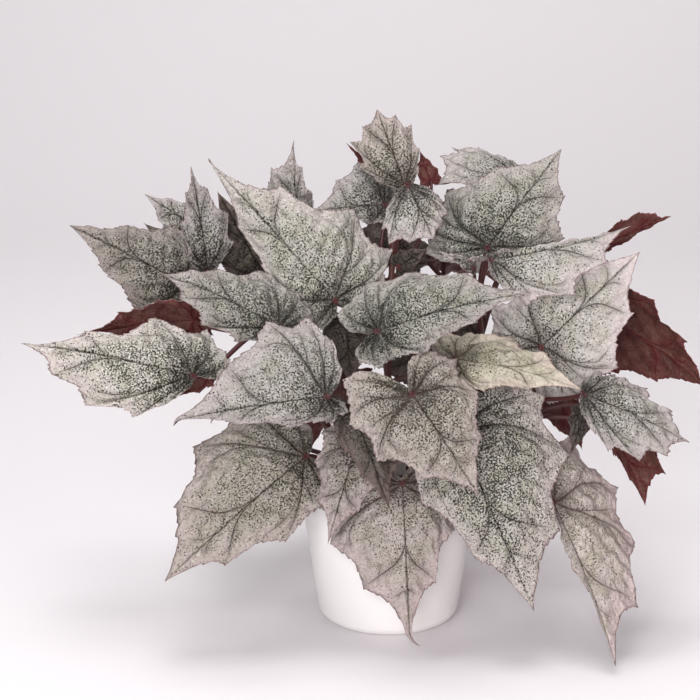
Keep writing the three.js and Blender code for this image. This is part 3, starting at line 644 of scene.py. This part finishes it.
def build_leaf(row, number, foliage, materials):
    """A leaf: the blade's upper and lower face, the edge that joins them, and the petiole. A larger blade has
    more teeth to a vein and more rings."""
    rng = np.random.default_rng(LEAF_SEED + number)
    row = {**row, **blade_frame(row)}
    size = row["midrib"]
    teeth = 7 if size > 110 else 6 if size > 80 else 4
    steps = np.linspace(0, LAST_STEP, 2 * teeth * LAST_STEP + 1)
    ring_count = 26 if size > 100 else 18 if size > 60 else 12
    rings = np.linspace(0, 1, ring_count + 1)[1:] ** 0.9
    phase = rng.uniform(0, TURN, 4)
    tone = row["tone"] + rng.uniform(-0.03, 0.03)
    surface = Surface()
    halves = [blade_half(row, half, steps, rings, rng, teeth, foliage) for half in (0, 1)]
    columns, origin = len(steps), np.zeros(1)
    rims = {}
    for face in (UPPER, LOWER):
        lift = foliage.thickness / MM * (0.5 if face == UPPER else -0.5)
        centre, normal = blade_bend(row, origin, origin, origin)
        heart = np.full((1, columns), surface.add_points(centre + normal * lift, 0, tone))
        for half, grid in enumerate(halves):
            point, normal = blade_bend(row, grid["x"], grid["y"], blade_relief(grid, row, phase, foliage))
            off = np.full(grid["x"].shape, lift)
            if face == LOWER:
                off = off - VEIN_RIDGE * vein_creases(grid) ** 6 * min(1, size / FULL_TEETH)
            point = point + normal * off[..., None]
            if half == 0:
                index = left = surface.add_points(point, grid["spread"] * MM, tone)
            else:
                index = surface.add_points(point[:, 1:-1], grid["spread"][:, 1:-1] * MM, tone)
                index = np.concatenate([left[:, :1], index, left[:, -1:]], axis=1)
            index = np.concatenate([heart, index])
            flat = np.stack([grid["x"], grid["y"]], axis=-1) * MM
            flat = np.concatenate([np.zeros((1, columns, 2)), flat])
            vein = np.stack([grid["place"], grid["reach"]], axis=-1)
            vein = np.concatenate([vein[:1] * (1, 0), vein])
            surface.add_quads(index, flat, vein, face, flip=(half == 0) == (face == UPPER))
            rims[face, half] = index[-1], flat[-1], vein[-1]
    for half in (0, 1):
        top, flat, vein = rims[UPPER, half]
        grid = np.stack([top, rims[LOWER, half][0]])
        surface.add_quads(grid, np.stack([flat, flat]), np.stack([vein, vein]), EDGE, flip=half == 0)
    reach = np.linspace(0, 1, 28)
    path, run = bezier(petiole_points(row), reach)
    path[-1] -= run[-1] * 0.4
    thick = 0.85 + 0.5 * (1 - reach) ** 3 + 0.35 * np.exp(-((1 - reach) / 0.03) ** 2)
    thick = PETIOLE_RADIUS * thick * min(1.3, 0.7 + size / 200)
    add_tube(surface, path, run, thick, PETIOLE_SIDES, STALK)
    surface.make(row["name"] + "_grown", materials, row["name"])


# ---- materials
def tinted(base, factors=1):
    """A colour times one factor, or times a factor for each of its parts, with full alpha."""
    return (*np.multiply(base, factors), 1.0)


class Graph:
    """A short way to write a node tree: each call adds what it needs and gives what comes out. Values are the
    outputs of other nodes, or plain numbers and colours."""

    def __init__(self, tree):
        self.tree = tree

    def feed(self, socket, value):
        """Links an output to a socket, or sets the socket's own value."""
        if isinstance(value, bpy.types.NodeSocket):
            self.tree.links.new(value, socket)
        elif value is not None:
            socket.default_value = value

    def node(self, kind, inputs=None, **settings):
        """A node with its settings, and its inputs by name or number."""
        made = self.tree.nodes.new("ShaderNode" + kind)
        for key, value in settings.items():
            setattr(made, key, value)
        for key, value in (inputs or {}).items():
            self.feed(made.inputs[key], value)
        return made

    def math(self, operation, *values, clamp=False):
        """One number from one, two or three."""
        return self.node("Math", dict(enumerate(values)), operation=operation, use_clamp=clamp).outputs[0]

    def times(self, a, b):
        """The product of two numbers."""
        return self.math("MULTIPLY", a, b)

    def total(self, *terms):
        """The sum of values, each given with its weight."""
        value, weight = terms[0]
        whole = self.times(value, weight)
        for value, weight in terms[1:]:
            whole = self.math("MULTIPLY_ADD", value, weight, whole)
        return whole

    def step(self, value, low, high, out_low=0.0, out_high=1.0):
        """An S-curve from out_low at low to out_high at high."""
        inputs = {"Value": value, "From Min": low, "From Max": high, "To Min": out_low, "To Max": out_high}
        return self.node("MapRange", inputs, interpolation_type="SMOOTHSTEP").outputs[0]

    def mix(self, share, a, b, blend="MIX"):
        """One colour from two."""
        return self.node("Mix", {0: share, 6: a, 7: b}, data_type="RGBA", blend_type=blend).outputs[2]

    def paint(self, base, *coats):
        """Lays coats over a colour, one after another: a mask, how strongly it covers, and a colour."""
        for mask, cover, coat in coats:
            base = self.mix(mask if cover == 1 else self.times(mask, cover), base, coat)
        return base

    def noise(self, vector, scale, detail=2.0, roughness=0.5):
        """Cloudy noise from 0 to 1; scale is about how many clouds lie side by side in a metre."""
        inputs = {"Vector": vector, "Scale": scale, "Detail": detail, "Roughness": roughness}
        return self.node("TexNoise", inputs).outputs[0]

    def cells(self, vector, scale, feature="F1", output="Distance"):
        """Distance within, or to the edge of, scattered cells, or a colour for each; scale counts them as
        for noise."""
        return self.node("TexVoronoi", {"Vector": vector, "Scale": scale}, feature=feature).outputs[output]

    def bump(self, height, strength, distance):
        """A normal that follows a height."""
        return self.node("Bump", {"Height": height, "Strength": strength, "Distance": distance}).outputs[0]

    def own_place(self):
        """Where a point lies on its own piece."""
        return self.node("TexCoord").outputs["Object"]

    def shared(self, name, inputs):
        """The outputs of a shared node group, which is made when it is first asked for."""
        tree = bpy.data.node_groups.get(name) or make_group(name, *GROUPS[name])
        return self.node("Group", inputs, node_tree=tree).outputs


def make_group(name, write, inputs, outputs):
    """A node group with named sockets. write(graph, inputs) gives the outputs by name."""
    tree = bpy.data.node_groups.new(name, "ShaderNodeTree")
    for label, kind in inputs.items():
        tree.interface.new_socket(label, in_out="INPUT", socket_type="NodeSocket" + kind)
    for label in outputs:
        tree.interface.new_socket(label, in_out="OUTPUT", socket_type="NodeSocketFloat")
    graph = Graph(tree)
    entry, leave = tree.nodes.new("NodeGroupInput"), tree.nodes.new("NodeGroupOutput")
    results = write(graph, {label: entry.outputs[label] for label in inputs})
    for label, value in results.items():
        graph.feed(leave.inputs[label], value)
    return tree


def write_vein_map(g, given):
    """Draws the veins: a line, a wider halo, and a fine net between them. Place and reach say where a point
    lies among the veins, and spread says how many metres lie between two places there."""
    place, reach, flat = g.math("ABSOLUTE", given["Place"]), given["Reach"], given["Flat"]
    wobble = g.math("MULTIPLY_ADD", g.noise(flat, 110.0), 2.2 * MM, -1.1 * MM)
    width = g.math("MULTIPLY_ADD", g.math("POWER", reach, 0.6), -1.8 * MM, 2.3 * MM)
    line, halo = 0.0, 0.0
    for (start, begin), (end, finish), strength in VEINS:
        weight = 0.35 + 0.65 * strength
        share = g.math("DIVIDE", g.math("SUBTRACT", reach, begin), finish - begin, clamp=True)
        run = g.math("MULTIPLY_ADD", g.math("POWER", share, VEIN_BEND), end - start, start)
        away = g.math("SUBTRACT", place, run)
        gap = g.math("ABSOLUTE", g.math("MULTIPLY_ADD", away, given["Spread"], wobble if start else 0.0))
        live = g.step(reach, finish - 0.14, finish + 0.02, 1.0, 0.0)
        if begin:
            live = g.times(live, g.step(reach, begin - 0.005, begin + 0.02))
        live = g.times(live, weight)
        drawn = g.math("DIVIDE", gap, g.times(width, weight))
        line = g.math("MAXIMUM", line, g.times(g.step(drawn, 0.2, 1.1, 1.0, 0.0), live))
        halo = g.math("MAXIMUM", halo, g.times(g.step(gap, 0.0, 6.5 * MM, 1.0, 0.0), live))
    rungs = g.math("MULTIPLY_ADD", reach, 9.0, g.times(g.math("PINGPONG", place, 0.5), -4.5))
    rungs = g.math("MULTIPLY_ADD", g.noise(flat, 60.0), 1.4, rungs)
    rung = g.math("ABSOLUTE", g.math("SUBTRACT", g.math("FRACT", rungs), 0.5))
    rung = g.step(rung, 0.0, 0.08, 0.6, 0.0)
    net = g.step(g.cells(flat, 230.0, "DISTANCE_TO_EDGE"), 0.0, 0.16, 1.0, 0.0)
    return {"Line": line, "Halo": halo, "Fine": g.math("MAXIMUM", rung, g.times(net, 0.6))}


def write_speckle(g, given):
    """Dark specks and pale flecks: two fine noises, each cut at a level, and larger pale pearls. They crowd
    together in patches, and a density of one gives close specks where nought gives hardly any."""
    vector = given["Vector"]
    patch = g.math("SUBTRACT", g.noise(vector, 85.0, 3.0, 0.6), 0.5)
    density = g.math("MULTIPLY_ADD", patch, 1.6, given["Density"])
    speck_level = g.math("MULTIPLY_ADD", density, 0.2, 0.28)
    specks = g.step(g.math("SUBTRACT", speck_level, g.noise(vector, 560.0, 2.0, 0.6)), -0.02, 0.025)
    fleck_level = g.math("MULTIPLY_ADD", density, -0.14, 0.68)
    flecks = g.step(g.math("SUBTRACT", g.noise(vector, 640.0, 1.0), fleck_level), -0.02, 0.05)
    pearls = g.step(g.noise(vector, 150.0, 1.0), 0.68, 0.72)
    return {"Specks": specks, "Flecks": g.math("MAXIMUM", flecks, pearls)}


# Each shared group: what writes it, its inputs and its outputs.
GROUPS = {
    "vein map": (write_vein_map, {"Place": "Float", "Reach": "Float", "Spread": "Float", "Flat": "Vector"},
                 ("Line", "Halo", "Fine")),
    "speckle": (write_speckle, {"Vector": "Vector", "Density": "Float"}, ("Specks", "Flecks")),
}


def new_material(name, write, *given):
    """A material whose shader is fed by what write(graph, ...) gives: its colour, its roughness, and where it
    has them, its normal and the strength of its gloss."""
    material = bpy.data.materials.new(name)
    material.use_nodes = True
    graph = Graph(material.node_tree)
    shader = material.node_tree.nodes["Principled BSDF"]
    labels = ("Base Color", "Roughness", "Normal", "Specular IOR Level")
    for label, value in zip(labels, write(graph, *given)):
        graph.feed(shader.inputs[label], value)
    return material


def leaf_coordinates(g):
    """What the leaf materials read from the mesh: the flat map, how far out a point lies, the leaf's tone,
    the veins there, and the distance from the heart."""
    flat, vein = [g.node("UVMap", uv_map=name).outputs[0] for name in ("flat", "vein")]
    spread, tone = [g.node("Attribute", attribute_name=name).outputs["Fac"] for name in ("spread", "tone")]
    place, reach, _ = g.node("SeparateXYZ", {0: vein}).outputs
    veins = g.shared("vein map", {"Place": place, "Reach": reach, "Spread": spread, "Flat": flat})
    from_heart = g.node("VectorMath", {0: flat}, operation="LENGTH").outputs["Value"]
    return flat, reach, tone, veins, from_heart


# Each finish: the silver's tint, the ground's tint, how close the specks are near the edge and in the middle
# of the blade, and how strongly the veins are drawn.
BLADE_FINISHES = {
    "silver": ((1.0, 0.985, 0.98), (1.0, 1.0, 1.0), 0.3, 0.75, 0.85),
    "green": ((0.96, 0.965, 0.92), (1.0, 1.1, 1.0), 0.35, 0.8, 0.85),
    "speckled": ((0.96, 0.95, 0.91), (0.8, 0.82, 0.75), 0.6, 1.05, 0.85),
    "bronze": ((0.95, 0.9, 0.85), (1.7, 1.4, 1.2), 0.35, 0.75, 0.9),
    "rosy": ((0.98, 0.9, 0.89), (2.2, 1.6, 1.6), 0.2, 0.6, 0.85),
    "olive": ((0.92, 0.88, 0.76), (1.9, 1.8, 1.3), 0.1, 0.65, 0.85),
    # Painted shade: a dark copy of the silver and ground, for leaves deep inside the foliage where only shade
    # falls.
    "shade": ((0.24, 0.2, 0.18), (0.7, 0.6, 0.55), 0.2, 0.8, 0.85),
}

# The pale pores of petioles and canes, and the three browns of the soil.
LENTICEL = tinted((0.3, 0.16, 0.12))
PEAT = tinted((0.012, 0.008, 0.006))
BARK = tinted((0.075, 0.045, 0.028))
DUST = tinted((0.03, 0.02, 0.014))


def upper_side(g, colours, finish):
    """The upper side of a blade: silver over dark green, broken by dark specks and pale flecks that gather in
    the middle, greener in patches, rosy towards the edge, with dark veins and a red heart."""
    silver_tint, ground_tint, edge_density, middle_density, vein_strength = BLADE_FINISHES[finish]
    silver, ground = np.multiply(colours.silver, silver_tint), np.multiply(colours.ground, ground_tint)
    grey, dark = tinted(silver, (0.32, 0.3, 0.28)), tinted(ground)
    flat, reach, tone, veins, from_heart = leaf_coordinates(g)
    middle = g.step(reach, 0.5, 0.98, 1.0, 0.0)
    density = g.math("MULTIPLY_ADD", middle, middle_density - edge_density, edge_density)
    density = g.math("MULTIPLY_ADD", g.math("SUBTRACT", tone, PLAIN["tone"]), -0.6, density)
    density = g.math("ADD", density, g.step(from_heart, 5 * MM, 45 * MM, 0.3, 0.0))
    specks, flecks = g.shared("speckle", {"Vector": flat, "Density": density})
    cloud = g.step(g.noise(flat, 45.0, 3.0), 0.38, 0.66, 0.0, 0.9)
    rim = g.step(g.math("MULTIPLY_ADD", g.noise(flat, 50.0, 3.0), 0.5, reach), 0.85, 1.3)
    wander = g.math("MULTIPLY_ADD", g.noise(flat, 300.0), 5 * MM, from_heart)
    base = g.paint(
        g.mix(cloud, tinted(silver, 0.9), tinted(silver, (0.7, 0.72, 0.61))),
        (rim, 0.8, tinted(silver, (1.02, 0.92, 0.99))),
        (flecks, 0.75, tinted(silver, 1.2)),
        (veins["Halo"], 0.5, grey),
        (g.step(from_heart, 4 * MM, 36 * MM, 0.8, 0.0), 1, grey),
        (specks, 0.97, dark),
        (veins["Fine"], 0.16, dark),
        (veins["Line"], vein_strength, tinted(ground, (1.5, 1.1, 1.0))),
        (g.step(reach, 0.98, 1.0), 0.6, tinted(colours.petiole, 2.2)),
        (g.step(wander, 3.5 * MM, 7 * MM, 0.85, 0.0), 1, tinted(colours.petiole, 1.6)))
    level = g.math("POWER", tone, 0.8)
    bright = g.node("CombineColor", {0: level, 1: level, 2: level}).outputs[0]
    height = g.total((veins["Fine"], -0.5), (veins["Line"], -1.0), (specks, -0.25),
                     (g.noise(flat, 150.0), 4.0), (g.noise(flat, 60.0), 9.0))
    return (g.mix(1.0, base, bright, "MULTIPLY"), g.step(specks, 0.0, 1.0, 0.5, 0.36),
            g.bump(height, 1.0, 1.0 * MM), 0.4)


def lower_side(g, colours):
    """The underside: brownish maroon, crimson along the raised veins and the rim, with a fine net."""
    flat, reach, _, veins, _ = leaf_coordinates(g)
    maroon, crimson = colours.underside, tinted(colours.underside, (0.95, 0.2, 0.4))
    cloud = g.step(g.noise(flat, 40.0, 3.0), 0.35, 0.65)
    base = g.paint(
        g.mix(cloud, tinted(maroon), tinted(maroon, (0.65, 0.5, 0.55))),
        (veins["Halo"], 0.55, crimson), (veins["Line"], 0.9, crimson), (veins["Fine"], 0.45, crimson),
        (g.step(reach, 0.93, 1.0, 0.0, 0.6), 1, crimson))
    height = g.total((veins["Fine"], 0.7), (veins["Line"], 1.2), (g.noise(flat, 90.0), 3.0))
    return base, 0.5, g.bump(height, 1.0, 1.0 * MM), 0.3


def blade_edge(g, colours):
    """The thin edge between the two sides: pinkish red."""
    flat = g.node("UVMap", uv_map="flat").outputs[0]
    return g.mix(g.noise(flat, 220.0), tinted(colours.petiole, 2.0), tinted(colours.margin)), 0.55


def stalk(g, colours, brown):
    """Petioles and canes: dark red, more or less brown, streaked and with small pale lenticels."""
    place = g.own_place()
    streak = g.noise(place, 70.0, 4.0, 0.6)
    bark = np.multiply(colours.petiole, 0.7) + np.multiply((0.04, 0.02, 0.01), brown)
    spots = g.step(g.cells(place, 420.0), 0.12, 0.22, 1.0, 0.0)
    spots = g.times(spots, g.step(g.noise(place, 160.0), 0.5, 0.6))
    base = g.mix(streak, tinted(colours.petiole, 0.55), tinted(bark))
    return (g.paint(base, (spots, 0.6, LENTICEL)), g.step(streak, 0.2, 0.8, 0.42, 0.6),
            g.bump(g.noise(place, 500.0, 3.0), 0.35, 0.4 * MM))


def pot_white(g, colours):
    """Smooth satin white with the faintest unevenness."""
    place = g.own_place()
    base = g.paint(tinted(colours.pot), (g.noise(place, 14.0, 3.0), 0.5, tinted(colours.pot, 0.95)))
    roughness = g.step(g.noise(place, 60.0), 0.3, 0.7, 0.4, 0.47)
    return base, roughness, g.bump(g.noise(place, 900.0), 0.06, 0.2 * MM)


def potting_mix(g):
    """Dark peat and bark: crumbs between two browns, dusted with a third."""
    place = g.own_place()
    crumbs = g.node("SeparateColor", {0: g.cells(place, 260.0, output="Color")}).outputs[0]
    base = g.paint(g.mix(crumbs, PEAT, BARK), (g.noise(place, 900.0, 4.0), 0.6, DUST))
    height = g.math("ADD", g.cells(place, 260.0), g.noise(place, 1200.0, 4.0))
    return base, 0.92, g.bump(height, 0.9, 1.5 * MM)


def studio_paper(g):
    """Plain pale paper."""
    return tinted((0.86, 0.83, 0.85)), 0.8


# ---- operators
class BEGONIA_OT_pot(bpy.types.Operator):
    """Turn the pot's wall, rounded edges and floor."""

    bl_idname = "begonia.pot"
    bl_label = "Pot"

    def execute(self, context):
        surface = Surface()
        surface.add_rings(turned(pot_profile(), POT_SIDES)[1:-1], (0, 0, 0), (0, 0, POT_FLOOR))
        white = new_material("pot white", pot_white, context.scene.begonia_colours)
        surface.make("pot_turned", [white], "pot")
        return {"FINISHED"}


class BEGONIA_OT_soil(bpy.types.Operator):
    """Heap the soil in the pot, in a low dome with a lumpy top."""

    bl_idname = "begonia.soil"
    bl_label = "Soil"

    def execute(self, context):
        share, floor = np.linspace(0, 1, 71)[1:, None, None], POT_FLOOR + 0.5
        top = circle(SOIL_SIDES) * share * (inner_radius(SOIL_LEVEL) - SOIL_CLEARANCE)
        x, y = top[..., 0], top[..., 1]
        lumps = rough_heights(x / SOIL_LUMP, y / SOIL_LUMP, SOIL_SEED) * SOIL_LUMP_HEIGHT
        top[..., 2] = soil_height(x, y) + lumps - SOIL_CLEARANCE
        knee = (inner_radius(KNEE_HEIGHT) - 0.8, KNEE_HEIGHT)
        below = turned([knee, (POT_FOOT_RADIUS - 2, floor)], SOIL_SIDES)
        surface = Surface()
        surface.add_rings(np.concatenate([top, below]), (0, 0, soil_height(0, 0)), (0, 0, floor), flip=True)
        surface.make("soil_heaped", [new_material("potting mix", potting_mix)], "potting_soil")
        return {"FINISHED"}


class BEGONIA_OT_canes(bpy.types.Operator):
    """Grow the canes: jointed stems with a swelling and a scar at each joint."""

    bl_idname = "begonia.canes"
    bl_label = "Canes"

    def execute(self, context):
        bark = new_material("cane bark", stalk, context.scene.begonia_colours, 1.0)
        for number, name in enumerate(CANES):
            curve, run = cane_curve(name)
            radii = cane_radii(lengths_along(curve), np.random.default_rng(CANE_SEED + number))
            surface = Surface()
            add_tube(surface, curve, run, radii, CANE_SIDES, 0)
            surface.make(name + "_grown", [bark], name)
        return {"FINISHED"}


class BEGONIA_OT_leaves(bpy.types.Operator):
    """Unfold every leaf on its petiole."""

    bl_idname = "begonia.leaves"
    bl_label = "Leaves"

    def execute(self, context):
        colours = context.scene.begonia_colours
        rest = [
            new_material("leaf underside", lower_side, colours),
            new_material("leaf edge", blade_edge, colours),
            new_material("petiole skin", stalk, colours, 0.35),
        ]
        above = {name: new_material("leaf upper " + name, upper_side, colours, name)
                 for name in BLADE_FINISHES}
        for number, row in enumerate(LEAVES):
            build_leaf(row, number, context.scene.begonia_foliage, [above[row["finish"]], *rest])
        return {"FINISHED"}


class BEGONIA_OT_stage(bpy.types.Operator):
    """Set the pale floor, the soft lights and the camera."""

    bl_idname = "begonia.stage"
    bl_label = "Stage"

    def execute(self, context):
        context.scene.view_settings.view_transform = "Standard"
        make_floor()
        make_lights()
        make_camera()
        return {"FINISHED"}


# ---- the stage, in metres
FLOOR_FRONT, FLOOR_BACK, FLOOR_SIDE = -3.0, 1.6, 8.0
SWEEP_RADIUS, SWEEP_ANGLE = 1.4, 1.4
BACKDROP_TOP = 6.0

# Each lamp: its place, its size, its power in watts, where it aims, and its tint.
LIGHTS = {
    "key_light": ((-1.3, -0.5, 2.1), 0.9, 12.0, (0, 0, 0.2), (1, 1, 1)),
    "top_light": ((0.0, -0.3, 2.4), 1.2, 24.0, (0, 0, 0.2), (1, 1, 1)),
    "front_light": ((-0.6, -3.0, 1.3), 1.6, 80.0, (0, 0, 0.25), (1, 1, 1)),
    "fill_light": ((2.4, -1.8, 1.4), 2.4, 33.0, (0, 0, 0.25), (1, 0.88, 0.9)),
    "backdrop_light": ((0.0, 1.0, 3.0), 2.0, 29.0, (0, 3.2, 0.8), (1, 1, 1)),
}
AIR_COLOUR = (0.82, 0.77, 0.785)
AIR_LIGHT = 0.06  # how much the surround lights the plant
AIR_SEEN = 0.9  # how much brighter the camera sees it

CAMERA_TILT = math.radians(16)  # below level
CAMERA_DISTANCE = 2.2  # to the pot's base, along the view
PIXEL = 1 * MM  # what one pixel covers at that distance
PICTURE = 700  # the photograph's width and height in pixels
POT_BASE_PIXEL = (388, 611)  # where the centre of the pot's base shows in the photograph
SENSOR = 36.0  # millimetres, as the lens


def make_floor():
    """A pale sweep: a level floor, an arc behind it and a backdrop that rises from the arc, carried from side
    to side."""
    arc = np.linspace(0, SWEEP_ANGLE, 12)[1:]
    level = np.linspace(FLOOR_FRONT, FLOOR_BACK, 6)
    depth = np.concatenate([level, FLOOR_BACK + SWEEP_RADIUS * np.sin(arc)])
    height = np.concatenate([0 * level, SWEEP_RADIUS * (1 - np.cos(arc)), [BACKDROP_TOP]])
    depth = np.append(depth, depth[-1] + 0.1)
    edges = np.stack([(0 * depth + side, depth, height) for side in (-FLOOR_SIDE, FLOOR_SIDE)])
    count = len(depth) - 1
    mesh = bpy.data.meshes.new("studio_floor")
    mesh.from_pydata(edges.transpose(2, 0, 1).reshape(-1, 3).tolist(), [],
                     [(2 * i, 2 * i + 1, 2 * i + 3, 2 * i + 2) for i in range(count)])
    mesh.polygons.foreach_set("use_smooth", np.ones(count, bool))
    mesh.materials.append(new_material("studio paper", studio_paper))
    add_object("studio_floor", mesh)


def make_lights():
    """Large soft lamps in front, above and at the sides, and a faint surround that looks pale where the
    camera sees past the floor."""
    for name, (place, size, power, aim, tint) in LIGHTS.items():
        lamp = bpy.data.lights.new(name, "AREA")
        lamp.shape, lamp.size, lamp.energy, lamp.color = "DISK", size, power, tint
        stand = add_object(name, lamp)
        stand.location = place
        x, y, z = np.subtract(aim, place)
        stand.rotation_euler = (math.atan2(math.hypot(x, y), -z), 0, math.atan2(y, x) - math.pi / 2)
    world = bpy.data.worlds.new("studio_air")
    world.use_nodes = True
    background, g = world.node_tree.nodes["Background"], Graph(world.node_tree)
    seen = g.node("LightPath").outputs["Is Camera Ray"]
    g.feed(background.inputs["Color"], tinted(AIR_COLOUR))
    g.feed(background.inputs["Strength"], g.math("MULTIPLY_ADD", seen, AIR_SEEN, AIR_LIGHT))
    bpy.context.scene.world = world


def make_camera():
    """The camera looks level along +Y and tilts down. At the pot one pixel covers one millimetre, which
    sets the lens; the pixel of the pot's base then sets its place."""
    right, down = np.subtract(POT_BASE_PIXEL, PICTURE / 2) * PIXEL
    view = np.array([0, math.cos(CAMERA_TILT), -math.sin(CAMERA_TILT)])
    up = np.array([0, math.sin(CAMERA_TILT), math.cos(CAMERA_TILT)])
    lens = bpy.data.cameras.new("camera")
    lens.sensor_width = SENSOR
    lens.lens = SENSOR * CAMERA_DISTANCE / (PICTURE * PIXEL)
    camera = add_object("camera", lens)
    camera.location = up * down - view * CAMERA_DISTANCE - (right, 0, 0)
    camera.rotation_euler = (math.pi / 2 - CAMERA_TILT, 0, 0)
    bpy.context.scene.camera = camera


# ---- the add-on
class BEGONIA_PT_parts(bpy.types.Panel):
    """Lists the settings and the steps."""

    bl_idname = "BEGONIA_PT_parts"
    bl_label = "Potted rex begonia"
    bl_space_type = "VIEW_3D"
    bl_region_type = "UI"
    bl_category = "Begonia"

    def draw(self, context):
        for settings in (context.scene.begonia_foliage, context.scene.begonia_colours):
            for key in settings.__annotations__:
                self.layout.prop(settings, key)
        for step in STEPS:
            self.layout.operator(step.bl_idname)


STEPS = (BEGONIA_OT_stage, BEGONIA_OT_pot, BEGONIA_OT_soil, BEGONIA_OT_canes, BEGONIA_OT_leaves)
CLASSES = (BegoniaFoliage, BegoniaColours, *STEPS, BEGONIA_PT_parts)


def register():
    """Registers the classes and hangs the settings on the scene."""
    for cls in CLASSES:
        bpy.utils.register_class(cls)
    bpy.types.Scene.begonia_foliage = bpy.props.PointerProperty(type=BegoniaFoliage)
    bpy.types.Scene.begonia_colours = bpy.props.PointerProperty(type=BegoniaColours)


def unregister():
    """Takes the settings and classes away again."""
    del bpy.types.Scene.begonia_foliage
    del bpy.types.Scene.begonia_colours
    for cls in reversed(CLASSES):
        bpy.utils.unregister_class(cls)


def main():
    """Registers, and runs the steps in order."""
    register()
    bpy.ops.begonia.stage()
    bpy.ops.begonia.pot()
    bpy.ops.begonia.soil()
    bpy.ops.begonia.canes()
    bpy.ops.begonia.leaves()


if __name__ == "__main__":
    main()
